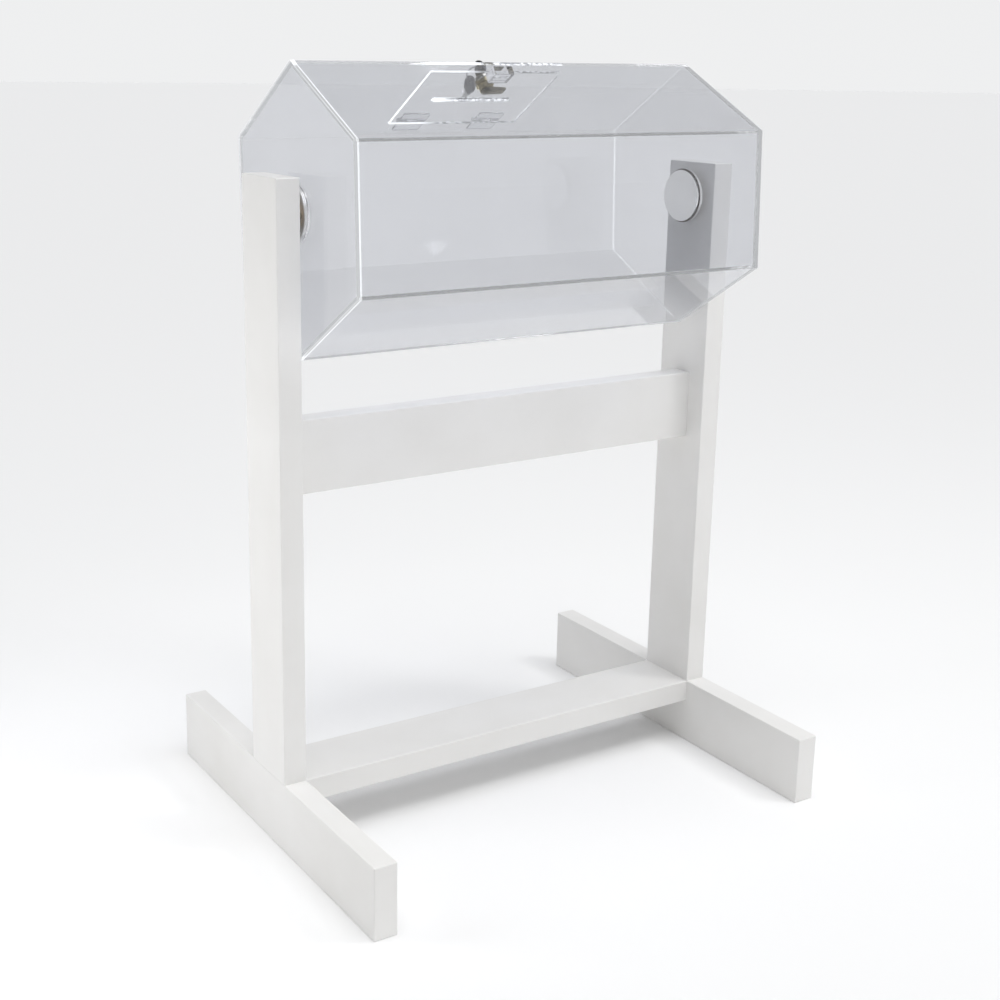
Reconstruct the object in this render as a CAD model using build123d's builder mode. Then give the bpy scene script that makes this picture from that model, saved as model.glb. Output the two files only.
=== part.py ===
"""Raffle drum: a clear hexagonal drum that turns between the two posts of a wooden stand.

Frame: millimetres, +X along the drum's axis from the left post to the right one, +Y to the back,
+Z up, origin on the floor under the middle of the drum.
"""
from build123d import *
from math import asin, atan2, cos, hypot, radians, sin, sqrt, tan
import os

os.makedirs("parts", exist_ok=True)

# ---------------------------------------------------------------- driving dimensions

# Boards: feet, posts, stretcher and rail are all cut from one stock
board_width = 95.25
board_thickness = 31.75
board_edge_radius = 1.5
foot_length = 568.0
post_above_axis = 47.0
drum_to_post = 15.2  # air between each end of the drum and its post
drum_to_rail = 73.75  # between the rail's top and the lowest that a corner of the drum comes

# Dowels in the stand's glued joints
dowel_radius = 5.0
dowel_length = 50.0
dowel_spacing = 50.0
stretcher_dowel_spacing = 24.0  # closer together, so that they pass between the post's dowels
dowel_clearance = 0.1
dowel_chamfer = 1.0

# Drum: mitred sheets between two end plates
axis_height = 819.0
drum_turn = -2.3  # how far the drum stands turned about +X at rest, in degrees
drum_length = 609.6
drum_side_length = 180.0
sheet = 6.35
mitre = 30.0  # half the angle by which one side of the hexagon turns from the next
glue_line = 0.1
sheet_chamfer = 0.4

# Hub at each end of the drum
hub_disc_radius = 35.6
flange_radius = 37.4
flange_thickness = 4.5
flange_chamfer = 0.6
axle_radius = 8.0
axle_reach = 24.0  # how far the axle enters the post
axle_chamfer = 1.0
hub_screw_circle_radius = 26.0
hub_screw_count = 4
hub_screw_radius = 2.0
hub_screw_head_radius = 3.9
hub_screw_head_angle = 90.0
hub_screw_length = 9.5
screw_clearance = 0.05
running_clearance = 0.05

# Flanged bushing in each post, and the sleeve that spaces the drum off it
bushing_radius = 11.0
bushing_length = 26.0
bushing_end_gap = 1.0  # between the bushing and the bottom of its bore
bushing_flange_radius = 15.0
bushing_flange_thickness = 3.0
bushing_seat_clearance = 0.05
bushing_chamfer = 0.5
spacer_radius = 13.0
spacer_clearance = 0.3
spacer_end_play = 0.15

# Door in the upper back panel; "up slope" counts from the panel's middle toward the ridge
door_width = 200.0
door_to_ridge = 22.5
door_to_fold = 30.5  # from the door to the panel's lower edge
door_gap = 1.0
door_corner_radius = 2.0
slot_length = 121.0
slot_width = 6.0
slot_x = -2.5
slot_below_middle = 4.0  # from the middle of the door

# Two clear hinges over the door's lower edge
hinge_places_x = (("left", -65.0), ("right", 54.0))
leaf_width = 40.0
leaf_length = 20.5
leaf_thickness = 2.4
leaf_corner_radius = 2.0
knuckle_radius = 3.2
knuckle_lift = 0.35  # air between a knuckle and the sheet under it
middle_knuckle_width = 16.0
knuckle_gap = 0.3
knuckle_relief = 0.5
pin_radius = 1.2

# Strike: the clear block that stops the door and that the cam turns behind
strike_x = -1.5
strike_width = 29.0
strike_thickness = 12.0
strike_over_door = 5.0  # how far it reaches down past the door's upper edge
strike_above_door = 16.5

# Cam lock
lock_x = -9.0
lock_below_edge = 20.5  # from the door's upper edge
barrel_radius = 9.5
barrel_across_flats = 16.5
barrel_clearance = 0.15
barrel_end_gap = 0.25
bezel_radius = 11.5
bezel_height = 4.0
bezel_edge_radius = 1.2
lock_nut_across_flats = 23.0
lock_nut_thickness = 5.0
lock_nut_clearance = 0.05
plug_radius = 6.35
plug_recess = 0.6
cam_clearance = 0.4
cam_thickness = 2.0
cam_length = 26.5  # from the lock's axis to the tip
cam_width = 17.0
cam_tip_width = 12.0
cam_corner_radius = 2.0
cam_square = 6.5
cam_square_clearance = 0.1
cam_screw_radius = 2.0
cam_screw_length = 6.0
cam_screw_head_radius = 4.2
cam_screw_head_height = 2.6
cam_screw_edge_radius = 0.85
cam_screw_socket = 3.0
cam_screw_socket_depth = 1.5

# Keys and their ring
key_thickness = 2.0
key_blade_width = 7.5
key_blade_length = 18.0
key_cut_count = 4
key_cut_depth = 1.6
keyway_clearance = 0.1
keyway_end_gap = 0.5
bow_radius = 11.5
bow_shoulder_width = 15.0
bow_thickness = 4.5
bow_edge_radius = 1.2
bow_stand_off = 0.5
bow_hole_radius = 2.4
bow_hole_from_top = 5.5
bow_socket_depth = 7.0
bow_socket_clearance = 0.1
ring_radius = 12.5
ring_wire_radius = 0.95
ring_air = 0.3  # between the ring and the wall of each hole that it hangs in
key_tip_air = 0.35

# ---------------------------------------------------------------- derived sizes

SIDES = (("left", -1), ("right", 1))
drum_end = drum_length / 2
post_face = drum_end + drum_to_post
post_top_height = axis_height + post_above_axis
rail_underside_height = axis_height - drum_side_length - drum_to_rail - board_width
panel_apothem = drum_side_length * sqrt(3) / 2
panel_length = drum_length - 2 * (sheet + glue_line)
flange_face = drum_end + flange_thickness
axle_bore_radius = axle_radius + running_clearance
spacer_face = post_face - bushing_flange_thickness
door_height = drum_side_length - door_to_ridge - door_to_fold
door_low_edge = door_to_fold - drum_side_length / 2
door_high_edge = drum_side_length / 2 - door_to_ridge
door_up_slope = (door_low_edge + door_high_edge) / 2
slot_up_slope = door_up_slope - slot_below_middle
strike_low_edge = door_high_edge - strike_over_door
strike_high_edge = door_high_edge + strike_above_door
lock_up_slope = door_high_edge - lock_below_edge
hinge_up_slope = door_low_edge - door_gap / 2
knuckle_height = knuckle_radius + knuckle_lift
pin_bore_radius = pin_radius + running_clearance
inner_face_depth = sheet + glue_line
cam_depth = inner_face_depth + strike_thickness + cam_clearance
plug_bore_radius = plug_radius + running_clearance
bow_height = bezel_height + bow_stand_off + bow_radius
ring_hole_height = bow_height + bow_radius - bow_hole_from_top

# The ring hangs off centre in both holes, by the slack that its bend leaves it
ring_sag = ring_radius - sqrt(ring_radius ** 2 - (bow_thickness / 2) ** 2)
ring_slack = bow_hole_radius - ring_wire_radius - ring_sag - ring_air
ring_reach = 2 * (ring_radius + ring_slack)

# The spare key hangs from the far side of the ring and leans until its tip almost meets the door
ring_to_tip = ring_reach + 2 * bow_radius - bow_hole_from_top + key_blade_length
tip_drop = ring_hole_height - key_tip_air
tip_half_width = key_blade_width / 2
key_lean = asin(tip_drop / hypot(ring_to_tip, tip_half_width)) - atan2(tip_half_width, ring_to_tip)


# ---------------------------------------------------------------- planes of the turned drum


def section_plane(x):
    """A cut across the drum at x; its own x runs to the back and its y up, turned with the drum."""
    turn = radians(drum_turn)
    return Plane(origin=(x, 0, axis_height), x_dir=(0, cos(turn), sin(turn)), z_dir=(1, 0, 0))


def panel_plane(angle_from_top):
    """The outer face of the panel that faces angle_from_top, in degrees from straight up to the back.

    Its x is +X, its z points out of the drum, and its y runs round the drum, down the back slope.
    """
    angle = radians(angle_from_top - drum_turn)
    normal = Vector(0, sin(angle), cos(angle))
    return Plane(origin=Vector(0, 0, axis_height) + normal * panel_apothem, x_dir=(1, 0, 0), z_dir=normal)


slope = panel_plane(mitre)
out_of_slope = Axis((0, 0, 0), slope.z_dir)
down_slope = Axis((0, 0, 0), slope.y_dir)


def on_slope(x, up_slope, height=0.0):
    """A plane parallel to the upper back panel, centred at x and up_slope, height outside its face."""
    return Plane(origin=slope.from_local_coords((x, -up_slope, height)), x_dir=(1, 0, 0), z_dir=slope.z_dir)


def across_slope(x, up_slope, height):
    """A cut through the upper back panel at x: its own x runs up the slope, its y out of the drum."""
    centre = slope.from_local_coords((x, -up_slope, height))
    return Plane(origin=centre, x_dir=slope.y_dir * -1, z_dir=(-1, 0, 0))


def end_face(distance, sign):
    """A plane across the drum's axis at distance from the middle, facing away from the middle."""
    return Plane(origin=(sign * distance, 0, axis_height), x_dir=(0, 1, 0), z_dir=(sign, 0, 0))


def finish(builder, name):
    """Label a finished piece and write it to its own file."""
    builder.part.label = name
    export_step(builder.part, f"parts/{name}.step")


# ---------------------------------------------------------------- stand


def drill_dowel_holes(face, spacing, along_x, along_y):
    """Blind holes for half a dowel each, in a face, spaced along the face's own x or y."""
    with Locations(face):
        with GridLocations(spacing, spacing, along_x, along_y):
            Hole(dowel_radius + dowel_clearance, depth=dowel_length / 2 + dowel_clearance)


# Where each joint's dowels go: a plane on the joint, then how many along its own x and y
stretcher_height = board_width - board_thickness / 2
rail_height = rail_underside_height + board_width / 2
post_middle = post_face + board_thickness / 2
post_joints = [
    Plane(origin=(sign * post_middle, 0, board_width), x_dir=(1, 0, 0), z_dir=(0, 0, 1))
    for _, sign in SIDES
]
stretcher_joints = [
    Plane(origin=(sign * post_face, 0, stretcher_height), x_dir=(0, 1, 0), z_dir=(sign, 0, 0))
    for _, sign in SIDES
]
rail_joints = [
    Plane(origin=(sign * post_face, 0, rail_height), x_dir=(0, 1, 0), z_dir=(sign, 0, 0))
    for _, sign in SIDES
]


def turned_over(plane):
    """The same place seen from the other side of the joint."""
    return Plane(origin=plane.origin, x_dir=plane.x_dir, z_dir=plane.z_dir * -1)


for number, (side, sign) in enumerate(SIDES):
    # Foot: a board on edge, from front to back
    with BuildPart() as foot:
        with BuildSketch(Plane.XY):
            with Locations((sign * post_middle, 0)):
                Rectangle(board_thickness, foot_length)
        extrude(amount=board_width)
        fillet(foot.edges(), board_edge_radius)
        drill_dowel_holes(post_joints[number], dowel_spacing, 1, 2)
        drill_dowel_holes(turned_over(stretcher_joints[number]), stretcher_dowel_spacing, 2, 1)
    finish(foot, f"{side}_foot")

    # Post: stands on the foot, flush with both of its sides, with a blind bore for the bushing
    with BuildPart() as post:
        with BuildSketch(Plane.XY.offset(board_width)):
            with Locations((sign * post_middle, 0)):
                Rectangle(board_thickness, board_width)
        extrude(amount=post_top_height - board_width)
        fillet(post.edges().filter_by(Axis.Z) + post.edges().group_by(Axis.Z)[-1], board_edge_radius)
        drill_dowel_holes(turned_over(post_joints[number]), dowel_spacing, 1, 2)
        drill_dowel_holes(turned_over(rail_joints[number]), dowel_spacing, 1, 2)
        with Locations(turned_over(end_face(post_face, sign))):
            Hole(bushing_radius + bushing_seat_clearance, depth=bushing_length + bushing_end_gap)
    finish(post, f"{side}_post")

# Lower stretcher: laid flat between the feet, its top level with theirs
with BuildPart() as lower_stretcher:
    with BuildSketch(Plane.YZ.offset(-post_face)):
        with Locations((0, stretcher_height)):
            RectangleRounded(board_width, board_thickness, board_edge_radius)
    extrude(amount=2 * post_face)
    for joint in stretcher_joints:
        drill_dowel_holes(joint, stretcher_dowel_spacing, 2, 1)
finish(lower_stretcher, "lower_stretcher")

# Upper rail: on edge between the posts, under the drum
with BuildPart() as upper_rail:
    with BuildSketch(Plane.YZ.offset(-post_face)):
        with Locations((0, rail_height)):
            RectangleRounded(board_thickness, board_width, board_edge_radius)
    extrude(amount=2 * post_face)
    for joint in rail_joints:
        drill_dowel_holes(joint, dowel_spacing, 1, 2)
finish(upper_rail, "upper_rail")


def make_dowels(name, joints, spacing, along_x, along_y):
    """The dowels of one kind of joint, half in each board, with eased ends."""
    with BuildPart() as dowels:
        for joint in joints:
            with BuildSketch(joint):
                with GridLocations(spacing, spacing, along_x, along_y):
                    Circle(dowel_radius)
            extrude(amount=dowel_length / 2, both=True)
        chamfer(dowels.edges().filter_by(GeomType.CIRCLE), dowel_chamfer)
    finish(dowels, name)


make_dowels("post_dowels", post_joints, dowel_spacing, 1, 2)
make_dowels("stretcher_dowels", stretcher_joints, stretcher_dowel_spacing, 2, 1)
make_dowels("rail_dowels", rail_joints, dowel_spacing, 1, 2)

# ---------------------------------------------------------------- bearings in the posts

for side, sign in SIDES:
    post_side = end_face(post_face, sign)

    # Flanged bushing, pressed into the post's blind bore
    with BuildPart() as bushing:
        with BuildSketch(post_side):
            Circle(bushing_flange_radius)
        extrude(amount=-bushing_flange_thickness)
        chamfer(bushing.edges().group_by(Axis.X)[0 if sign > 0 else -1], bushing_chamfer)
        with BuildSketch(post_side):
            Circle(bushing_radius)
        extrude(amount=bushing_length)
        with Locations(post_side):
            Hole(axle_bore_radius)
    finish(bushing, f"{side}_bushing")

    # Sleeve round the axle that keeps the drum midway between the posts
    with BuildPart() as spacer:
        with BuildSketch(end_face(spacer_face, sign)):
            Circle(spacer_radius)
            Circle(axle_radius + spacer_clearance, mode=Mode.SUBTRACT)
        extrude(amount=flange_face + spacer_end_play - spacer_face)
    finish(spacer, f"{side}_spacer")

# ---------------------------------------------------------------- drum

hub_screw_hole_depth = hub_screw_length - flange_thickness + screw_clearance

for side, sign in SIDES:
    # End plate: a full hexagon, its hole filled by the hub disc
    with BuildPart() as end_plate:
        with BuildSketch(section_plane(sign * drum_end)):
            RegularPolygon(radius=drum_side_length, side_count=6, rotation=mitre)
        extrude(amount=-sign * sheet)
        chamfer(end_plate.edges().group_by(Axis.X)[-1 if sign > 0 else 0], sheet_chamfer)
        with Locations(end_face(drum_end, sign)):
            Hole(hub_disc_radius + glue_line)
    finish(end_plate, f"{side}_end_plate")

    # Hub disc: white plastic, let into the end plate flush with both faces
    with BuildPart() as hub_disc:
        with BuildSketch(end_face(drum_end, sign)):
            Circle(hub_disc_radius)
        extrude(amount=-sheet)
        with Locations(end_face(drum_end, sign)):
            with PolarLocations(hub_screw_circle_radius, hub_screw_count):
                Hole(hub_screw_radius + screw_clearance, depth=hub_screw_hole_depth)
    finish(hub_disc, f"{side}_hub_disc")

    # Axle flange: a steel flange with the stub axle that runs in the post's bushing
    with BuildPart() as axle_flange:
        with BuildSketch(end_face(drum_end, sign)):
            Circle(flange_radius)
        extrude(amount=flange_thickness)
        chamfer(axle_flange.edges().group_by(Axis.X)[-1 if sign > 0 else 0], flange_chamfer)
        with BuildSketch(end_face(flange_face, sign)):
            Circle(axle_radius)
        extrude(amount=post_face + axle_reach - flange_face)
        chamfer(axle_flange.edges().group_by(Axis.X)[-1 if sign > 0 else 0], axle_chamfer)
        with Locations(end_face(flange_face, sign)):
            with PolarLocations(hub_screw_circle_radius, hub_screw_count):
                CounterSinkHole(
                    hub_screw_radius + screw_clearance,
                    hub_screw_head_radius + screw_clearance,
                    depth=flange_thickness,
                    counter_sink_angle=hub_screw_head_angle,
                )
    finish(axle_flange, f"{side}_axle_flange")

# Countersunk screws that hold each flange to its hub disc
with BuildPart() as hub_screws:
    head_height = (hub_screw_head_radius - hub_screw_radius) / tan(radians(hub_screw_head_angle / 2))
    for _, sign in SIDES:
        with Locations(end_face(flange_face, sign)):
            with PolarLocations(hub_screw_circle_radius, hub_screw_count):
                Cylinder(
                    hub_screw_radius,
                    hub_screw_length,
                    align=(Align.CENTER, Align.CENTER, Align.MAX),
                )
                Cone(
                    bottom_radius=hub_screw_radius,
                    top_radius=hub_screw_head_radius,
                    height=head_height,
                    align=(Align.CENTER, Align.CENTER, Align.MAX),
                )
finish(hub_screws, "hub_screws")

# Long panels, mitred to meet their neighbours along a glue line
PANELS = (
    "upper_back_panel",
    "back_panel",
    "lower_back_panel",
    "lower_front_panel",
    "front_panel",
    "upper_front_panel",
)
outer_half_width = drum_side_length / 2 - glue_line / 2 / cos(radians(mitre))
inner_half_width = outer_half_width - sheet * tan(radians(mitre))

for number, name in enumerate(PANELS):
    outer_face = panel_plane(mitre * (2 * number + 1))
    across_panel = Plane(origin=outer_face.origin, x_dir=outer_face.y_dir, z_dir=(1, 0, 0))
    with BuildPart() as panel:
        with BuildSketch(across_panel) as section:
            Polygon(
                (-outer_half_width, 0),
                (-inner_half_width, -sheet),
                (inner_half_width, -sheet),
                (outer_half_width, 0),
                align=None,
            )
            chamfer(section.vertices().group_by(Axis.Y)[-1], sheet_chamfer)
        extrude(amount=panel_length / 2, both=True)
        if name == "upper_back_panel":
            with BuildSketch(on_slope(0, door_up_slope)):
                RectangleRounded(
                    door_width + 2 * door_gap, door_height + 2 * door_gap, door_corner_radius + door_gap
                )
            extrude(amount=-sheet, mode=Mode.SUBTRACT)
    finish(panel, name)

# Strike: a clear block glued inside the panel, its lower end lapping behind the door's edge
with BuildPart() as strike:
    with BuildSketch(on_slope(strike_x, (strike_low_edge + strike_high_edge) / 2, -inner_face_depth)):
        Rectangle(strike_width, strike_high_edge - strike_low_edge)
    extrude(amount=-strike_thickness)
    chamfer(strike.edges(), sheet_chamfer)
finish(strike, "door_strike")

# ---------------------------------------------------------------- hinges


def make_leaf(name, x, toward_ridge, knuckles):
    """One leaf of a hinge at x: a plate glued on one side of the hinge line, with its knuckles.

    toward_ridge is 1 for the door's leaf and -1 for the drum's; knuckles lists each knuckle's
    middle, counted from x, and its width.
    """
    relief = knuckle_radius + knuckle_relief
    with BuildPart() as leaf:
        with BuildSketch(on_slope(x, hinge_up_slope, glue_line)):
            with Locations((0, -toward_ridge * leaf_length / 2)):
                Rectangle(leaf_width, leaf_length)
        extrude(amount=leaf_thickness)
        corners = leaf.edges().filter_by(out_of_slope).group_by(down_slope)
        fillet(corners[0 if toward_ridge > 0 else -1], leaf_corner_radius)
        with BuildSketch(on_slope(x, hinge_up_slope, glue_line)):
            Rectangle(leaf_width, 2 * relief)
        extrude(amount=leaf_thickness, mode=Mode.SUBTRACT)
        for middle, width in knuckles:
            with BuildSketch(on_slope(x + middle, hinge_up_slope, glue_line)):
                with Locations((0, -toward_ridge * relief / 2)):
                    Rectangle(width, relief)
            extrude(amount=leaf_thickness)
            with BuildSketch(across_slope(x + middle, hinge_up_slope, knuckle_height)):
                Circle(knuckle_radius)
            extrude(amount=width / 2, both=True)
        with Locations(across_slope(x, hinge_up_slope, knuckle_height)):
            Hole(pin_bore_radius)
    finish(leaf, name)


outer_knuckle_width = (leaf_width - middle_knuckle_width) / 2 - knuckle_gap
outer_knuckle_middle = (leaf_width - outer_knuckle_width) / 2

for side, x in hinge_places_x:
    make_leaf(
        f"{side}_hinge_drum_leaf",
        x,
        -1,
        ((-outer_knuckle_middle, outer_knuckle_width), (outer_knuckle_middle, outer_knuckle_width)),
    )
    make_leaf(f"{side}_hinge_door_leaf", x, 1, ((0, middle_knuckle_width),))

with BuildPart() as hinge_pins:
    for _, x in hinge_places_x:
        with BuildSketch(across_slope(x, hinge_up_slope, knuckle_height)):
            Circle(pin_radius)
        extrude(amount=leaf_width / 2, both=True)
finish(hinge_pins, "hinge_pins")

# ---------------------------------------------------------------- door and its lock


def barrel_section(clearance):
    """The lock barrel's outline: a circle with two flats, which keep it from turning in the door."""
    Circle(barrel_radius + clearance)
    Rectangle(2 * (barrel_radius + clearance), barrel_across_flats + 2 * clearance, mode=Mode.INTERSECT)


# Door panel: a loose sheet in the opening, with the ticket slot and the lock's hole
with BuildPart() as door_panel:
    with BuildSketch(on_slope(0, door_up_slope)):
        RectangleRounded(door_width, door_height, door_corner_radius)
    extrude(amount=-sheet)
    chamfer(door_panel.edges().filter_by(out_of_slope, reverse=True), sheet_chamfer)
    with BuildSketch(on_slope(slot_x, slot_up_slope)):
        SlotOverall(slot_length, slot_width)
    extrude(amount=-sheet, mode=Mode.SUBTRACT)
    with BuildSketch(on_slope(lock_x, lock_up_slope)):
        barrel_section(barrel_clearance)
    extrude(amount=-sheet, mode=Mode.SUBTRACT)
finish(door_panel, "door_panel")

# Lock body: a bezel on the door's outer face and a barrel through it
with BuildPart() as lock_body:
    with BuildSketch(on_slope(lock_x, lock_up_slope)):
        Circle(bezel_radius)
    extrude(amount=bezel_height)
    fillet(lock_body.edges().group_by(out_of_slope)[-1], bezel_edge_radius)
    with BuildSketch(on_slope(lock_x, lock_up_slope)):
        barrel_section(0)
    extrude(amount=barrel_end_gap - cam_depth)
    with Locations(on_slope(lock_x, lock_up_slope)):
        Hole(plug_bore_radius)
finish(lock_body, "lock_body")

# Hexagon nut that clamps the lock body to the door from inside
with BuildPart() as lock_nut:
    with BuildSketch(on_slope(lock_x, lock_up_slope, -sheet)):
        RegularPolygon(radius=lock_nut_across_flats / 2, side_count=6, major_radius=False)
        Circle(barrel_radius + lock_nut_clearance, mode=Mode.SUBTRACT)
    extrude(amount=-lock_nut_thickness)
finish(lock_nut, "lock_nut")

# Plug: turns in the body, with the keyway in its face and a square that carries the cam
with BuildPart() as lock_plug:
    with BuildSketch(on_slope(lock_x, lock_up_slope, bezel_height - plug_recess)):
        Circle(plug_radius)
    extrude(amount=plug_recess - bezel_height - cam_depth)
    with BuildSketch(on_slope(lock_x, lock_up_slope, -cam_depth)):
        Rectangle(cam_square, cam_square)
    extrude(amount=-cam_thickness)
    with BuildSketch(on_slope(lock_x, lock_up_slope, bezel_height)):
        Rectangle(key_thickness + 2 * keyway_clearance, key_blade_width + 2 * keyway_clearance)
    extrude(amount=bow_stand_off - key_blade_length - keyway_end_gap, mode=Mode.SUBTRACT)
    with BuildSketch(on_slope(lock_x, lock_up_slope, -cam_depth - cam_thickness)):
        Circle(cam_screw_radius + screw_clearance)
    extrude(amount=cam_screw_length, mode=Mode.SUBTRACT)
finish(lock_plug, "lock_plug")

# Cam: the flat blade that turns behind the strike; at rest it lies along the drum, clear of it
with BuildPart() as lock_cam:
    with BuildSketch(on_slope(lock_x, lock_up_slope, -cam_depth)) as blade:
        Polygon(
            (0, cam_width / 2),
            (0, -cam_width / 2),
            (cam_length, -cam_tip_width / 2),
            (cam_length, cam_tip_width / 2),
            align=None,
        )
        fillet(blade.vertices().group_by(Axis.X)[-1], cam_corner_radius)
        Circle(cam_width / 2)
        hole_side = cam_square + 2 * cam_square_clearance
        Rectangle(hole_side, hole_side, mode=Mode.SUBTRACT)
    extrude(amount=-cam_thickness)
finish(lock_cam, "lock_cam")

# Cam screw: round head with a hexagon socket
with BuildPart() as cam_screw:
    with BuildSketch(on_slope(lock_x, lock_up_slope, -cam_depth - cam_thickness)):
        Circle(cam_screw_head_radius)
    extrude(amount=-cam_screw_head_height)
    fillet(cam_screw.edges().group_by(out_of_slope)[0], cam_screw_edge_radius)
    with BuildSketch(on_slope(lock_x, lock_up_slope, -cam_depth - cam_thickness)):
        Circle(cam_screw_radius)
    extrude(amount=cam_screw_length - screw_clearance)
    with BuildSketch(on_slope(lock_x, lock_up_slope, -cam_depth - cam_thickness - cam_screw_head_height)):
        RegularPolygon(radius=cam_screw_socket / 2, side_count=6, major_radius=False)
    extrude(amount=cam_screw_socket_depth, mode=Mode.SUBTRACT)
finish(cam_screw, "cam_screw")

# ---------------------------------------------------------------- keys


def make_key(bow_name, blade_name, key_plane):
    """A key in key_plane: origin at the middle of the bow, y from the blade to the ring hole."""
    with BuildPart() as bow:
        with BuildSketch(key_plane):
            Circle(bow_radius)
            Rectangle(bow_shoulder_width, bow_radius, align=(Align.CENTER, Align.MAX))
        extrude(amount=bow_thickness / 2, both=True)
        fillet(bow.edges().filter_by(Axis((0, 0, 0), key_plane.z_dir), reverse=True), bow_edge_radius)
        with BuildSketch(key_plane):
            with Locations((0, bow_radius - bow_hole_from_top)):
                Circle(bow_hole_radius)
        extrude(amount=bow_thickness / 2, both=True, mode=Mode.SUBTRACT)
        with BuildSketch(key_plane):
            with Locations((0, -bow_radius)):
                Rectangle(
                    key_blade_width + 2 * bow_socket_clearance,
                    bow_socket_depth + bow_socket_clearance,
                    align=(Align.CENTER, Align.MIN),
                )
        extrude(amount=key_thickness / 2 + bow_socket_clearance, both=True, mode=Mode.SUBTRACT)
    finish(bow, bow_name)

    tip_y = -bow_radius - key_blade_length
    cut_pitch = (key_blade_length - tip_half_width) / (key_cut_count + 1)
    with BuildPart() as blade:
        with BuildSketch(key_plane):
            Polygon(
                (-tip_half_width, bow_socket_depth - bow_radius),
                (tip_half_width, bow_socket_depth - bow_radius),
                (tip_half_width, tip_y + tip_half_width),
                (0, tip_y),
                (-tip_half_width, tip_y + tip_half_width),
                align=None,
            )
            for cut in range(key_cut_count):
                middle_y = -bow_radius - (cut + 1) * cut_pitch
                Polygon(
                    (tip_half_width, middle_y + cut_pitch / 2),
                    (tip_half_width - key_cut_depth, middle_y),
                    (tip_half_width, middle_y - cut_pitch / 2),
                    align=None,
                    mode=Mode.SUBTRACT,
                )
        extrude(amount=key_thickness / 2, both=True)
    finish(blade, blade_name)


make_key("key_in_lock_bow", "key_in_lock_blade", across_slope(lock_x, lock_up_slope, bow_height))

# The ring goes through the bow in the lock; the spare key hangs from its far side, down the slope
ring_hole = slope.from_local_coords((lock_x, -lock_up_slope, ring_hole_height))
hanging = slope.y_dir * cos(key_lean) - slope.z_dir * sin(key_lean)
along_drum = Vector(1, 0, 0)

with BuildPart() as key_ring:
    ring_centre = ring_hole + hanging * (ring_radius + ring_slack)
    with Locations(Plane(origin=ring_centre, x_dir=along_drum, z_dir=hanging.cross(along_drum))):
        Torus(ring_radius, ring_wire_radius)
finish(key_ring, "key_ring")

spare_bow_centre = ring_hole + hanging * (ring_reach + bow_radius - bow_hole_from_top)
spare_key_plane = Plane(origin=spare_bow_centre, x_dir=along_drum.cross(hanging), z_dir=along_drum)
make_key("spare_key_bow", "spare_key_blade", spare_key_plane)
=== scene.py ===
"""Looks of a raffle drum: a clear hexagonal drum turning between the posts of a white stand.

Metres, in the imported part's own frame: +X along the drum's axis, +Y to the back, +Z up.
"""

import math

import bpy
import numpy as np
from mathutils import Matrix, Vector


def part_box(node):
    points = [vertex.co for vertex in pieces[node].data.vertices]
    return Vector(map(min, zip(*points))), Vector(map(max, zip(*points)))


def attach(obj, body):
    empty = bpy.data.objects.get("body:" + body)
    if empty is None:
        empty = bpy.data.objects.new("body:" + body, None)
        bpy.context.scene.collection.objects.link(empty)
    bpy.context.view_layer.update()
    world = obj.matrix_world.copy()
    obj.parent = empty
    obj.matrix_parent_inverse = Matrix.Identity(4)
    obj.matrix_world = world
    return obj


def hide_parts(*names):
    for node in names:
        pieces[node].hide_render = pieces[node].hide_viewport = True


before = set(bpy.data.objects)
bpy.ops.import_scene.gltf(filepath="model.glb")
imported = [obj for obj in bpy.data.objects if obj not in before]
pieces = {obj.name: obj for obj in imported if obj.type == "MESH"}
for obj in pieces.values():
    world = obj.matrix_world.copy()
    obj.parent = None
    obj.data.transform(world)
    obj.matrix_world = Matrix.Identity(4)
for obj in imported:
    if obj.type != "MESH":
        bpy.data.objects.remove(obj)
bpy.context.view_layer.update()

# ---------------------------------------------------------------- stand
# Six boards of planed softwood, doweled and glued, then brushed with white satin paint. The
# grain under the paint runs along each board, so the foot, post and cross boards differ only
# in the direction that their grain is drawn out in.


def add(tree, kind, inputs=None, **settings):
    """A shader node of that kind; inputs are values, or the sockets that feed them."""
    made = tree.nodes.new("ShaderNode" + kind)
    for name, value in settings.items():
        setattr(made, name, value)
    for socket, value in (inputs or {}).items():
        if isinstance(value, bpy.types.NodeSocket):
            tree.links.new(value, made.inputs[socket])
        else:
            made.inputs[socket].default_value = value
    return made


def spread(tree, value, low, high, start=0.0, end=1.0, **settings):
    """Turns the run from start to end into the run from low to high, and stops at both."""
    return add(tree, "MapRange", {
        "Value": value, "From Min": start, "From Max": end, "To Min": low, "To Max": high,
    }, **settings).outputs["Result"]


def blend(tree, share, first, second):
    """A colour between first and second (the colour sockets of a Mix node are 6 and 7)."""
    mixed = add(tree, "Mix", {0: share, 6: first, 7: second}, data_type="RGBA")
    return mixed.outputs[2]


def new_group(name, inputs, outputs):
    """An empty shader group with those named sockets, and its two end nodes."""
    group = bpy.data.node_groups.new(name, "ShaderNodeTree")
    for label, kind, value in inputs:
        socket = group.interface.new_socket(label, in_out="INPUT", socket_type=kind)
        socket.default_value = value
    for label, kind in outputs:
        group.interface.new_socket(label, in_out="OUTPUT", socket_type=kind)
    group_in = group.nodes.new("NodeGroupInput").outputs
    group_out = group.nodes.new("NodeGroupOutput").inputs
    return group, group_in, group_out


def new_material(name):
    """An empty node material and its output node."""
    material = bpy.data.materials.new(name)
    material.use_nodes = True
    material.node_tree.nodes.clear()
    return material, material.node_tree, add(material.node_tree, "OutputMaterial")


def dress(material, *names):
    """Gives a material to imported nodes, through the slots of their objects."""
    for name in names:
        for slot in pieces[name].material_slots:
            slot.link = "OBJECT"
            slot.material = material


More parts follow.
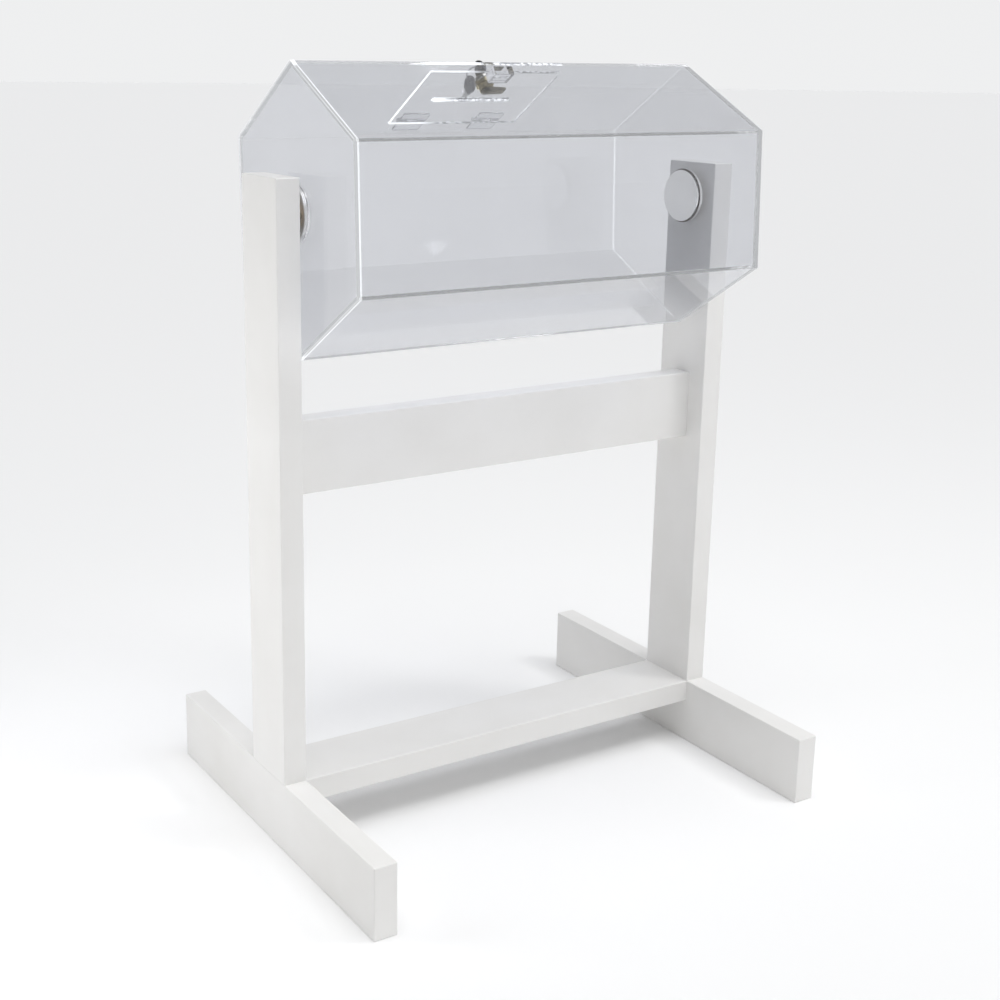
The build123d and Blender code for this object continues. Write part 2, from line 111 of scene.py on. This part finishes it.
# Mottle: two shades of one colour that drift into each other in soft patches
mottle, mottle_in, mottle_out = new_group(
    "mottle",
    [("Light", "NodeSocketColor", (1, 1, 1, 1)), ("Dark", "NodeSocketColor", (0.9, 0.9, 0.9, 1)),
     ("Scale", "NodeSocketFloat", 12.0)],
    [("Color", "NodeSocketColor")],
)
patches = add(mottle, "TexNoise", {
    "Vector": add(mottle, "TexCoord").outputs["Object"], "Scale": mottle_in["Scale"], "Detail": 4.0,
}).outputs["Fac"]
patch_share = spread(mottle, patches, 0.0, 1.0, start=0.3, end=0.7)
mottle.links.new(
    blend(mottle, patch_share, mottle_in["Dark"], mottle_in["Light"]), mottle_out["Color"]
)

# Grain: long fine streaks, drawn out along whichever axis has a small stretch
grain, grain_in, grain_out = new_group(
    "grain",
    [("Stretch", "NodeSocketVector", (1, 1, 1)), ("Scale", "NodeSocketFloat", 160.0)],
    [("Streaks", "NodeSocketFloat")],
)
drawn_out = add(grain, "VectorMath", {
    0: add(grain, "TexCoord").outputs["Object"], 1: grain_in["Stretch"],
}, operation="MULTIPLY")
streaks = add(grain, "TexNoise", {
    "Vector": drawn_out.outputs[0], "Scale": grain_in["Scale"], "Detail": 6.0, "Roughness": 0.6,
    "Distortion": 0.3,
})
grain.links.new(streaks.outputs["Fac"], grain_out["Streaks"])


def mottled(tree, light, dark, scale):
    """The mottle between two shades, in patches as fine as scale says."""
    return add(tree, "Group", {
        "Light": (*light, 1), "Dark": (*dark, 1), "Scale": scale,
    }, node_tree=mottle).outputs["Color"]


PAINT_LIGHT = (0.86, 0.852, 0.838)
PAINT_DARK = (0.815, 0.805, 0.785)
PAINT_PATCHES = 7.0
BRUSH_FINENESS = 210.0
BRUSH_DEPTH = 0.0006
ALONG_GRAIN = 0.03


def painted(name, stretch):
    """White satin paint: shade from mottle, brush streaks along the board in height and gloss."""
    material, tree, out = new_material(name)
    brush = add(tree, "Group", {
        "Stretch": stretch, "Scale": BRUSH_FINENESS,
    }, node_tree=grain).outputs["Streaks"]
    bump = add(tree, "Bump", {"Height": brush, "Strength": 0.22, "Distance": BRUSH_DEPTH})
    paint = add(tree, "BsdfPrincipled", {
        "Base Color": mottled(tree, PAINT_LIGHT, PAINT_DARK, PAINT_PATCHES),
        "Roughness": spread(tree, brush, 0.34, 0.52),
        "Normal": bump.outputs["Normal"], "IOR": 1.48,
    })
    tree.links.new(paint.outputs[0], out.inputs["Surface"])
    return material


dress(painted("paint_along_feet", (1, ALONG_GRAIN, 1)), "left_foot", "right_foot")
dress(painted("paint_along_posts", (1, 1, ALONG_GRAIN)), "left_post", "right_post")
dress(
    painted("paint_along_cross_boards", (ALONG_GRAIN, 1, 1)), "lower_stretcher", "upper_rail"
)

# Bare beech dowels, glued inside the joints
dowel_wood, dowel_tree, dowel_out = new_material("dowel_wood")
dowel_grain = add(dowel_tree, "Group", {"Scale": 400.0}, node_tree=grain).outputs["Streaks"]
dowel_bump = add(dowel_tree, "Bump", {"Height": dowel_grain, "Distance": 0.0003})
dowel_surface = add(dowel_tree, "BsdfPrincipled", {
    "Base Color": blend(dowel_tree, dowel_grain, (0.46, 0.29, 0.15, 1), (0.72, 0.53, 0.33, 1)),
    "Roughness": 0.62, "Normal": dowel_bump.outputs["Normal"],
})
dowel_tree.links.new(dowel_surface.outputs[0], dowel_out.inputs["Surface"])
dress(dowel_wood, "post_dowels", "stretcher_dowels", "rail_dowels")

# ---------------------------------------------------------------- bearings in the posts
# A flanged bushing of porous bronze is pressed into each post, and a turned nylon sleeve on the
# axle keeps the drum midway between them.

# Scuffs: short crossing hairlines that handling and turning tools leave
scuffs, scuffs_in, scuffs_out = new_group(
    "scuffs",
    [("Scale", "NodeSocketFloat", 300.0), ("Amount", "NodeSocketFloat", 0.5)],
    [("Mask", "NodeSocketFloat")],
)
scuff_place = add(scuffs, "TexCoord").outputs["Object"]
hairlines = []
for turn in (0.4, 2.1):
    turned = add(scuffs, "Mapping", {
        "Vector": scuff_place, "Rotation": (turn, turn / 2, turn), "Scale": (0.06, 1, 1),
    })
    lines = add(scuffs, "TexNoise", {
        "Vector": turned.outputs[0], "Scale": scuffs_in["Scale"], "Detail": 2.0,
    })
    hairlines.append(spread(scuffs, lines.outputs["Fac"], 0.0, 1.0, start=0.62, end=0.72))
either = add(scuffs, "Math", {0: hairlines[0], 1: hairlines[1]}, operation="MAXIMUM")
weighed = add(scuffs, "Math", {
    0: either.outputs[0], 1: scuffs_in["Amount"],
}, operation="MULTIPLY")
scuffs.links.new(weighed.outputs[0], scuffs_out["Mask"])

TOOL_MARKS = 900.0
TOOL_MARK_DEPTH = 0.0001


def hard_finish(name, light, dark, metallic, smooth, rough, patch=60.0):
    """A hard turned or moulded surface: mottled colour, and roughness raised along the scuffs."""
    material, tree, out = new_material(name)
    marks = add(tree, "Group", {"Scale": TOOL_MARKS}, node_tree=scuffs).outputs["Mask"]
    bump = add(tree, "Bump", {"Height": marks, "Strength": 0.15, "Distance": TOOL_MARK_DEPTH})
    surface = add(tree, "BsdfPrincipled", {
        "Base Color": mottled(tree, light, dark, patch),
        "Roughness": spread(tree, marks, smooth, rough),
        "Normal": bump.outputs["Normal"], "Metallic": metallic,
    })
    tree.links.new(surface.outputs[0], out.inputs["Surface"])
    return material


bronze = hard_finish("bronze", (0.60, 0.42, 0.22), (0.47, 0.31, 0.15), 1.0, 0.38, 0.55)
nylon = hard_finish("nylon", (0.80, 0.78, 0.71), (0.75, 0.72, 0.65), 0.0, 0.45, 0.6, patch=90.0)
dress(bronze, "left_bushing", "right_bushing")
dress(nylon, "left_spacer", "right_spacer")

# ---------------------------------------------------------------- drum
# Eight sheets of clear cast acrylic: six mitred panels solvent-cemented between two hexagonal
# end plates. Let into each end plate is a turned white disc, and a bright flange with a stub
# axle is screwed to it. The flange's face against the end plate is coloured dark brown, a
# painted shade that shows through the sheet as a dark ring.

AXIS_HEIGHT = 0.819
DRUM_TURN = math.radians(-2.3)
SHEET = 0.00635
PANEL_APOTHEM = 0.18 * math.sqrt(3) / 2
DRUM_END = 0.3048
END_PLATE_INSIDE = 0.2984
CEMENT_REACH = 0.00022
RIM_DEPTH = 0.0005
SIXTH = math.pi / 3


def step_over(tree, value, edge):
    """1 where value is over edge, else 0."""
    return add(tree, "Math", {0: value, 1: edge}, operation="GREATER_THAN").outputs[0]


def math_of(tree, operation, *values):
    """The output of one arithmetic node."""
    return add(tree, "Math", dict(enumerate(values)), operation=operation).outputs[0]


def step_under(tree, value, edge):
    """0 where value is over edge, else 1."""
    return math_of(tree, "SUBTRACT", 1.0, step_over(tree, value, edge))


def product(tree, first, *others):
    """All the values multiplied."""
    for other in others:
        first = math_of(tree, "MULTIPLY", first, other)
    return first


def from_drum_middle(tree):
    """Object coordinates counted from the middle of the drum's axis."""
    return add(tree, "VectorMath", {
        0: add(tree, "TexCoord").outputs["Object"], 1: (0, 0, AXIS_HEIGHT),
    }, operation="SUBTRACT").outputs[0]


# Cement: where two sheets meet. Along the mitres that is a plane through the axis and a corner,
# each 60 degrees; at the ends it is a thin slice where a panel's end meets the end plate. Rim:
# the sawn and polished outer edge of an end plate. Both follow from the angle round the axis.
# The end joint and rim masks carry a painted glow, weaker at the right end than at the left.
RIGHT_END_SHARE = 0.6
END_FADE = 0.1

cement, _, cement_out = new_group(
    "cement",
    [],
    [("Joined", "NodeSocketFloat"), ("End", "NodeSocketFloat"), ("Rim", "NodeSocketFloat")],
)
drum_axes = add(cement, "SeparateXYZ", {0: from_drum_middle(cement)}).outputs
far_round = math_of(cement, "SQRT", math_of(
    cement, "ADD",
    math_of(cement, "POWER", drum_axes["Y"], 2.0), math_of(cement, "POWER", drum_axes["Z"], 2.0),
))
angle = math_of(
    cement, "ADD", math_of(cement, "ARCTAN2", drum_axes["Y"], drum_axes["Z"]),
    2 * math.pi + DRUM_TURN,
)
past_corner = math_of(cement, "MODULO", angle, SIXTH)
off_middle = math_of(cement, "SUBTRACT", past_corner, SIXTH / 2)
to_corner = math_of(cement, "SUBTRACT", SIXTH / 2, math_of(cement, "ABSOLUTE", off_middle))
from_mitre = product(cement, far_round, math_of(cement, "SINE", to_corner))
out_from_axis = product(cement, far_round, math_of(cement, "COSINE", off_middle))
along_axis = math_of(cement, "ABSOLUTE", drum_axes["X"])
from_end_joint = math_of(
    cement, "ABSOLUTE", math_of(cement, "SUBTRACT", along_axis, END_PLATE_INSIDE)
)

in_wall = step_over(cement, out_from_axis, PANEL_APOTHEM - SHEET - CEMENT_REACH)
end_joint = step_under(cement, from_end_joint, CEMENT_REACH)
mitre_joint = product(
    cement, step_under(cement, along_axis, END_PLATE_INSIDE),
    step_under(cement, from_mitre, CEMENT_REACH),
)
joined = product(cement, in_wall, math_of(cement, "MAXIMUM", end_joint, mitre_joint))
rim = product(
    cement, step_over(cement, along_axis, END_PLATE_INSIDE),
    step_over(cement, out_from_axis, PANEL_APOTHEM - RIM_DEPTH),
    step_over(cement, from_end_joint, CEMENT_REACH),
)
by_end = spread(cement, drum_axes["X"], 1.0, RIGHT_END_SHARE, start=-END_FADE, end=END_FADE)
cement.links.new(joined, cement_out["Joined"])
cement.links.new(product(cement, rim, by_end), cement_out["Rim"])
cement.links.new(product(cement, by_end, in_wall, end_joint), cement_out["End"])

SHEET_TINT = (0.862, 0.869, 0.889)
SHEET_HAZE = 0.10
SHEET_CLOUD = 0.014
SHEET_SHINE = 0.27
SHEET_PATCHES = 5.0
HANDLING_MARKS = 120.0
SEEN_DIRECTLY = 0.5
# Painted glow: emission in the sheet that stands in for light trapped inside it, and brightens the
# end joints, the end plates' rims and sawn edges
TRAPPED_BOUNCES = 2.5
TRAPPED_GLOW = 0.12
JOINT_ALPHA = 0.12
END_GLOW = 0.9
RIM_GLOW = 0.26
GLOW_TINT = (0.96, 0.98, 1.0)


def acrylic(name, tint, haze, cemented=False, sawn_edges=None, cloud=0.0):
    """Clear acrylic: hairline scuffs blur it a little, and lamps shine straight through the sheet.

    A ray that keeps being reflected inside the sheet picks up a painted glow, emission that
    stands in for the light trapped there. Cemented sheets nearly vanish where they join, because
    cement makes them one clear solid, while the joint to an end plate and that plate's rim get a
    painted glow. The sawn_edges group says how much painted glow sawn edges get, for an eye that
    sees them directly.
    """
    material, tree, out = new_material(name)
    light, dark = ([part + change for part in tint] for change in (cloud, -cloud))
    marks = add(tree, "Group", {"Scale": HANDLING_MARKS, "Amount": 0.6}, node_tree=scuffs)
    sheet = add(tree, "BsdfPrincipled", {
        "Base Color": mottled(tree, light, dark, SHEET_PATCHES),
        "Roughness": spread(tree, marks.outputs["Mask"], 0.0, haze), "IOR": 1.49,
        "Transmission Weight": 1.0, "Specular IOR Level": SHEET_SHINE, "Emission Strength": 1.0,
    })
    rays = add(tree, "LightPath").outputs
    glows = [product(tree, step_over(tree, rays["Glossy Depth"], TRAPPED_BOUNCES), TRAPPED_GLOW)]
    if cemented:
        joints = add(tree, "Group", node_tree=cement).outputs
        tree.links.new(spread(tree, joints["Joined"], 1.0, JOINT_ALPHA), sheet.inputs["Alpha"])
        glows.append(product(tree, joints["End"], END_GLOW))
        glows.append(product(tree, joints["Rim"], RIM_GLOW))
    if sawn_edges:
        direct = math_of(tree, "LESS_THAN", rays["Glossy Depth"], SEEN_DIRECTLY)
        edges = add(tree, "Group", node_tree=sawn_edges).outputs
        glows.append(product(tree, direct, edges["Glow"]))
    glow = glows[0]
    for other in glows[1:]:
        glow = math_of(tree, "ADD", glow, other)
    glow_colour = add(tree, "VectorMath", {0: GLOW_TINT, "Scale": glow}, operation="SCALE")
    tree.links.new(glow_colour.outputs[0], sheet.inputs["Emission Color"])
    straight = add(tree, "BsdfTransparent", {"Color": (*tint, 1)})
    passing = add(tree, "MixShader", {
        0: rays["Is Shadow Ray"], 1: sheet.outputs[0], 2: straight.outputs[0],
    })
    tree.links.new(passing.outputs[0], out.inputs["Surface"])
    return material


clear_sheet = acrylic("clear_sheet", SHEET_TINT, SHEET_HAZE, cemented=True, cloud=SHEET_CLOUD)
dress(
    clear_sheet, "left_end_plate", "right_end_plate", "back_panel", "lower_back_panel",
    "lower_front_panel", "front_panel", "upper_front_panel",
)
white_plastic = hard_finish(
    "white_plastic", (0.95, 0.95, 0.945), (0.92, 0.92, 0.915), 0.0, 0.28, 0.45, patch=40.0
)
dress(white_plastic, "left_hub_disc", "right_hub_disc")

# The flange's bright metal, and a painted shade of dark brown on the face that lies against the end
# plate
SHADE_BAND_DEPTH = 0.0002
PAINTED_SHADE_BROWN = (0.10, 0.055, 0.03, 1)
flange_metal, flange_tree, flange_out = new_material("flange_metal")
flange_place = add(flange_tree, "TexCoord").outputs["Object"]
flange_reach = math_of(
    flange_tree, "ABSOLUTE", add(flange_tree, "SeparateXYZ", {0: flange_place}).outputs["X"]
)
# Painted shade: the thin slice of the flange against the end plate is coloured dark brown and not
# metallic
painted_shade_band = math_of(flange_tree, "LESS_THAN", flange_reach, DRUM_END + SHADE_BAND_DEPTH)
flange_shade = mottled(flange_tree, (0.86, 0.853, 0.845), (0.78, 0.773, 0.765), 60.0)
flange_marks = add(flange_tree, "Group", {"Scale": TOOL_MARKS}, node_tree=scuffs)
flange_surface = add(flange_tree, "BsdfPrincipled", {
    "Base Color": blend(flange_tree, painted_shade_band, flange_shade, PAINTED_SHADE_BROWN),
    "Roughness": spread(flange_tree, flange_marks.outputs["Mask"], 0.3, 0.45),
    "Metallic": math_of(flange_tree, "SUBTRACT", 1.0, painted_shade_band),
})
flange_tree.links.new(flange_surface.outputs[0], flange_out.inputs["Surface"])
dress(flange_metal, "left_axle_flange", "right_axle_flange")

zinc_steel = hard_finish("zinc_steel", (0.62, 0.62, 0.60), (0.50, 0.50, 0.49), 1.0, 0.28, 0.45)
dress(zinc_steel, "hub_screws")

# ---------------------------------------------------------------- hinges, door and strike
# The door is a loose sheet of the same acrylic in the upper back panel, with a ticket slot. Two
# moulded clear hinges carry it on steel pins, and a clear block cemented inside stops it.

DOOR_SLOPE = math.radians(30) - DRUM_TURN
DOOR_MIDDLE_UP_SLOPE = 0.004
GAP_MIDDLE = (0.1005, 0.064)
SLOT_MIDDLE_X = -0.0025
SLOT_HALF = (0.0605, 0.003)

# Door place: how far a point lies along the drum, up the back slope, and out of its sheet's face
door_place, _, door_place_out = new_group(
    "door_place",
    [],
    [("Sideways", "NodeSocketFloat"), ("Up slope", "NodeSocketFloat"),
     ("Off sheet", "NodeSocketFloat")],
)
from_middle = from_drum_middle(door_place)
for way, direction, start in (
    ("Sideways", (1, 0, 0), 0.0),
    ("Up slope", (0, -math.cos(DOOR_SLOPE), math.sin(DOOR_SLOPE)), 0.0),
    ("Off sheet", (0, math.sin(DOOR_SLOPE), math.cos(DOOR_SLOPE)), PANEL_APOTHEM),
):
    reach = add(door_place, "VectorMath", {
        0: from_middle, 1: direction,
    }, operation="DOT_PRODUCT").outputs["Value"]
    door_place.links.new(math_of(door_place, "SUBTRACT", reach, start), door_place_out[way])

# Sawn: the edges round the door, its opening and its slot, which get a painted glow as a painted
# highlight: whole toward the left, in dashes elsewhere, and even but faint at the door's two short
# sides.
SAWN_GLOW = 1.3
SAWN_REACH = 0.0008
SHEET_INSIDE_SKIN = 0.0003
SHORT_SIDES = 0.0995
SHORT_SIDE_SHARE = 0.22
DASH_SHARE = 0.5

sawn, _, sawn_out = new_group("sawn", [], [("Glow", "NodeSocketFloat")])
on_door = add(sawn, "Group", node_tree=door_place).outputs


def off_outline(middle_x, middle_u, half_x, half_u):
    """Distance from a rectangle's outline: abs(max(abs(x) - half_x, abs(u) - half_u))."""
    x = math_of(sawn, "ABSOLUTE", math_of(sawn, "SUBTRACT", on_door["Sideways"], middle_x))
    u = math_of(sawn, "ABSOLUTE", math_of(sawn, "SUBTRACT", on_door["Up slope"], middle_u))
    past_x = math_of(sawn, "SUBTRACT", x, half_x)
    past_u = math_of(sawn, "SUBTRACT", u, half_u)
    return math_of(sawn, "ABSOLUTE", math_of(sawn, "MAXIMUM", past_x, past_u))


nearest = math_of(
    sawn, "MINIMUM", off_outline(0, DOOR_MIDDLE_UP_SLOPE, *GAP_MIDDLE),
    off_outline(SLOT_MIDDLE_X, 0, *SLOT_HALF),
)
in_back_sheet = step_over(sawn, on_door["Off sheet"], SHEET_INSIDE_SKIN - SHEET)
broken = add(sawn, "TexNoise", {
    "Vector": add(sawn, "TexCoord").outputs["Object"], "Scale": 130.0, "Detail": 2.0,
}).outputs["Fac"]
dashes = spread(sawn, broken, 0.0, 1.0, start=0.45, end=0.6)
toward_left = spread(sawn, on_door["Sideways"], 1.0, 0.0, start=-0.05, end=-0.02)
short_side = step_over(sawn, math_of(sawn, "ABSOLUTE", on_door["Sideways"]), SHORT_SIDES)
lit = math_of(sawn, "MAXIMUM", toward_left, product(sawn, dashes, DASH_SHARE))
lit_sides = math_of(sawn, "MAXIMUM", lit, product(sawn, short_side, SHORT_SIDE_SHARE))
sawn.links.new(
    product(sawn, in_back_sheet, step_under(sawn, nearest, SAWN_REACH), lit_sides, SAWN_GLOW),
    sawn_out["Glow"],
)

door_sheet = acrylic("door_sheet", SHEET_TINT, SHEET_HAZE, sawn_edges=sawn)
opened_sheet = acrylic(
    "opened_sheet", SHEET_TINT, SHEET_HAZE, cemented=True, sawn_edges=sawn, cloud=SHEET_CLOUD
)
clear_moulding = acrylic("clear_moulding", (0.97, 0.972, 0.98), 0.06)
dress(door_sheet, "door_panel")
dress(opened_sheet, "upper_back_panel")
dress(
    clear_moulding, "door_strike", "left_hinge_drum_leaf", "right_hinge_drum_leaf",
    "left_hinge_door_leaf", "right_hinge_door_leaf",
)
dress(zinc_steel, "hinge_pins")

# ---------------------------------------------------------------- cam lock
# A cam lock goes through the door. Its die-cast body is plated bright on the bezel and is brassy
# below, where its thread is cut, and the thread's grooves are coloured darker as painted shade.
# Nut and plug are brass, and a dark plated cam turns behind the strike.

LOCK_X = -0.009
LOCK_UP_SLOPE = 0.047
THREAD_PITCH = 0.0014
THREAD_DEPTH = 0.0004
BEZEL_SKIN = -0.0002
PLATED_BRIGHT = (0.78, 0.78, 0.78, 1)
THREAD_GROOVE_SHADE = (0.12, 0.10, 0.07, 1)

brass = hard_finish("brass", (0.52, 0.45, 0.27), (0.30, 0.26, 0.15), 1.0, 0.24, 0.45, patch=160.0)
cam_steel = hard_finish(
    "cam_steel", (0.20, 0.185, 0.14), (0.09, 0.08, 0.06), 1.0, 0.24, 0.42, patch=160.0
)

lock_metal, lock_tree, lock_out = new_material("lock_body_metal")
lock_place = add(lock_tree, "Group", node_tree=door_place).outputs
on_bezel = step_over(lock_tree, lock_place["Off sheet"], BEZEL_SKIN)
brassy = mottled(lock_tree, (0.62, 0.56, 0.38), (0.40, 0.35, 0.22), 220.0)
round_lock = math_of(
    lock_tree, "ARCTAN2",
    math_of(lock_tree, "SUBTRACT", lock_place["Up slope"], LOCK_UP_SLOPE),
    math_of(lock_tree, "SUBTRACT", lock_place["Sideways"], LOCK_X),
)
turns_down = math_of(
    lock_tree, "SUBTRACT",
    product(lock_tree, lock_place["Off sheet"], 2 * math.pi / THREAD_PITCH), round_lock,
)
thread = product(
    lock_tree, math_of(lock_tree, "SINE", turns_down),
    math_of(lock_tree, "SUBTRACT", 1.0, on_bezel),
)
# Painted shade: the colour is darkened in the thread's grooves and stays plated on its crests
crests = spread(lock_tree, thread, 0.25, 1.0, start=-1.0)
thread_bump = add(lock_tree, "Bump", {
    "Height": thread, "Strength": 0.8, "Distance": THREAD_DEPTH,
})
lock_surface = add(lock_tree, "BsdfPrincipled", {
    "Base Color": blend(
        lock_tree, crests, THREAD_GROOVE_SHADE, blend(lock_tree, on_bezel, brassy, PLATED_BRIGHT)
    ),
    "Metallic": 1.0, "Roughness": spread(lock_tree, on_bezel, 0.28, 0.08),
    "Normal": thread_bump.outputs["Normal"],
})
lock_tree.links.new(lock_surface.outputs[0], lock_out.inputs["Surface"])
dress(lock_metal, "lock_body")
dress(brass, "lock_nut", "lock_plug")
dress(cam_steel, "lock_cam", "cam_screw")

# ---------------------------------------------------------------- keys and ring
# Two flat nickel keys with black moulded bows share a split ring of two turns of flattened wire.
# One key is in the lock and carries the other.


def skin(name, points, closed_u=False, closed_v=False):
    """A mesh over a grid of points: its faces join neighbours, and wrap round where closed."""
    rows, columns = points.shape[:2]
    index = np.arange(rows * columns).reshape(rows, columns)
    if closed_u:
        index = np.vstack([index, index[:1]])
    if closed_v:
        index = np.hstack([index, index[:, :1]])
    corners = [index[:-1, :-1], index[1:, :-1], index[1:, 1:], index[:-1, 1:]]
    faces = np.stack(corners, axis=-1).reshape(-1, 4)
    mesh = bpy.data.meshes.new(name)
    mesh.from_pydata(points.reshape(-1, 3).tolist(), [], faces.tolist())
    mesh.polygons.foreach_set("use_smooth", np.ones(len(faces), dtype=bool))
    made = bpy.data.objects.new(name, mesh)
    bpy.context.scene.collection.objects.link(made)
    return made


key_plastic = hard_finish(
    "key_plastic", (0.016, 0.016, 0.019), (0.010, 0.010, 0.012), 0.0, 0.3, 0.5
)
key_steel = hard_finish("key_steel", (0.66, 0.66, 0.64), (0.52, 0.52, 0.50), 1.0, 0.2, 0.4)
chrome = hard_finish("chrome", (0.78, 0.78, 0.78), (0.70, 0.70, 0.70), 1.0, 0.07, 0.22)
dress(key_plastic, "key_in_lock_bow", "spare_key_bow")
dress(key_steel, "key_in_lock_blade", "spare_key_blade")

RING_TURNS = 2
RING_POINTS = 192
WIRE_POINTS = 14
ring_low, ring_high = (np.array(corner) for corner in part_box("key_ring"))
ring_middle = (ring_low + ring_high) / 2
ring_span = ring_high - ring_low


def wire_radius_from(span):
    """Half the wire, w, from (y - w)^2 + (z - w)^2 = (x - w)^2 for a leaning ring's half spans."""
    x, y, z = span / 2
    half = x - y - z
    rest = y * y + z * z - x * x
    return -half - math.sqrt(half * half - rest)


wire_radius = wire_radius_from(ring_span)
ring_radius, lean_y, lean_z = ring_span / 2 - wire_radius
lean = np.array([0.0, lean_y, -lean_z]) / ring_radius
along = np.array([1.0, 0.0, 0.0])
through = np.cross(lean, along)


def split_ring(turns, points_round, points_of_wire):
    """A flattened wire on a flat helix: wide as the ring's wire, and thin as the helix's pitch.

    At s round the ring and t round the wire, the point is the middle + (R + w cos t) (lean
    cos s + along sin s) + thin (s / pi - turns + sin t) through, with thin = w / (turns + 1).
    """
    thin = wire_radius / (turns + 1)
    s = np.linspace(0, 2 * np.pi * turns, points_round)[:, None]
    t = np.linspace(0, 2 * np.pi, points_of_wire, endpoint=False)[None, :]
    reach = ring_radius + wire_radius * np.cos(t) * np.ones_like(s)
    rise = (s / np.pi - turns) * thin + thin * np.sin(t)
    out = np.cos(s)[..., None] * lean + np.sin(s)[..., None] * along
    return ring_middle + reach[..., None] * out + rise[..., None] * through


key_ring = skin("split_ring", split_ring(RING_TURNS, RING_POINTS, WIRE_POINTS), closed_v=True)
key_ring.data.materials.append(chrome)
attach(key_ring, "spare_key")
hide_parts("key_ring")

# ---------------------------------------------------------------- floor, light and camera
# A wide pale floor, a sky that is brightest near the horizon and dimmer at the left, a very soft
# sun from overhead, a strip lamp low at the left and a small lamp high at the front right. The
# camera is where the photograph was taken from.

FLOOR_RADIUS = 60.0
FLOOR_HOLE = 0.001
FLOOR_FIRST_RING = 0.5
FLOOR_RINGS = 12


def round_floor(points_round):
    """A flat disc: rings that widen by equal ratios from the first to the floor's radius."""
    rings = np.geomspace(FLOOR_FIRST_RING, FLOOR_RADIUS, FLOOR_RINGS)
    out = np.concatenate([[FLOOR_HOLE], rings])
    turn = np.linspace(0, 2 * np.pi, points_round, endpoint=False)[:, None]
    flat = np.zeros_like(out * turn)
    return np.stack([out * np.cos(turn), out * np.sin(turn), flat], axis=-1)


floor = skin("studio_floor", round_floor(96), closed_u=True)
floor_material, floor_tree, floor_out = new_material("studio_paper")
paper = add(floor_tree, "BsdfDiffuse", {"Color": (0.95, 0.95, 0.95, 1)})
floor_tree.links.new(paper.outputs[0], floor_out.inputs["Surface"])
floor.data.materials.append(floor_material)

HORIZON = (0.862, 0.867, 0.872, 1)
ZENITH = (0.34, 0.345, 0.355, 1)
ZENITH_FROM = 0.85
LEFT_SHADE = 0.3
LEFT_FROM = 0.9
world = bpy.data.worlds.new("studio")
world.use_nodes = True
sky = world.node_tree
sky_place = add(sky, "TexCoord").outputs["Generated"]
sky_axes = add(sky, "SeparateXYZ", {0: sky_place}).outputs
upward_fade = spread(
    sky, sky_axes["Z"], 0.0, 1.0, end=ZENITH_FROM, interpolation_type="SMOOTHSTEP"
)
to_left = math_of(sky, "MULTIPLY", sky_axes["X"], -1.0)
left_fade = spread(
    sky, to_left, 1.0, LEFT_SHADE, end=LEFT_FROM, interpolation_type="SMOOTHSTEP"
)
sky_colour = add(sky, "VectorMath", {
    0: blend(sky, upward_fade, HORIZON, ZENITH), "Scale": left_fade,
}, operation="SCALE")
sky.links.new(sky_colour.outputs[0], sky.nodes["Background"].inputs["Color"])
bpy.context.scene.world = world
bpy.context.scene.view_settings.view_transform = "Standard"

key_lamp = bpy.data.lights.new("key_light", "SUN")
key_lamp.energy = 1.6
key_lamp.angle = math.radians(50)
key_light = bpy.data.objects.new("key_light", key_lamp)
key_light.rotation_euler = Vector((-0.05, -0.20, 0.98)).to_track_quat("Z", "Y").to_euler()
bpy.context.scene.collection.objects.link(key_light)


def soft_light(name, place, target, width, height, watts):
    """A rectangular lamp at place, turned to face target."""
    lamp = bpy.data.lights.new(name, "AREA")
    lamp.shape = "RECTANGLE"
    lamp.size = width
    lamp.size_y = height
    lamp.energy = watts
    holder = bpy.data.objects.new(name, lamp)
    away = Vector(place) - Vector(target)
    facing = away.to_track_quat("Z", "Y").to_matrix().to_4x4()
    holder.matrix_world = Matrix.Translation(place) @ facing
    bpy.context.scene.collection.objects.link(holder)


soft_light("left_strip", (-0.95, 0.12, 0.5), (-0.35, 0.0, 0.5), 0.25, 0.8, 1.8)
soft_light("window_light", (1.3, -1.1, 2.35), (0.0, -0.1, 0.9), 0.45, 0.45, 10.0)

# The camera's place, directions and centre were fitted to the photograph's edges
CAMERA_PLACE = (-1.107301, -1.639483, 1.000844)
CAMERA_YAW = 0.549939
CAMERA_PITCH = -0.247412
CAMERA_ROLL = 0.011074
FOCAL_SHARE = 1.496331
CENTRE_SHARE = (0.434644, 0.437837)

ahead = Vector((
    math.sin(CAMERA_YAW) * math.cos(CAMERA_PITCH),
    math.cos(CAMERA_YAW) * math.cos(CAMERA_PITCH),
    math.sin(CAMERA_PITCH),
))
level = Vector((math.cos(CAMERA_YAW), -math.sin(CAMERA_YAW), 0))
upward = level.cross(ahead)
rolled_level = level * math.cos(CAMERA_ROLL) + upward * math.sin(CAMERA_ROLL)
rolled_upward = upward * math.cos(CAMERA_ROLL) - level * math.sin(CAMERA_ROLL)
camera_turn = Matrix((rolled_level, rolled_upward, -ahead)).transposed().to_4x4()

camera_lens = bpy.data.cameras.new("camera")
camera_lens.sensor_width = 36.0
camera_lens.lens = FOCAL_SHARE * camera_lens.sensor_width
camera_lens.shift_x = 0.5 - CENTRE_SHARE[0]
camera_lens.shift_y = CENTRE_SHARE[1] - 0.5
camera = bpy.data.objects.new("camera", camera_lens)
camera.matrix_world = Matrix.Translation(CAMERA_PLACE) @ camera_turn
bpy.context.scene.collection.objects.link(camera)
bpy.context.scene.camera = camera
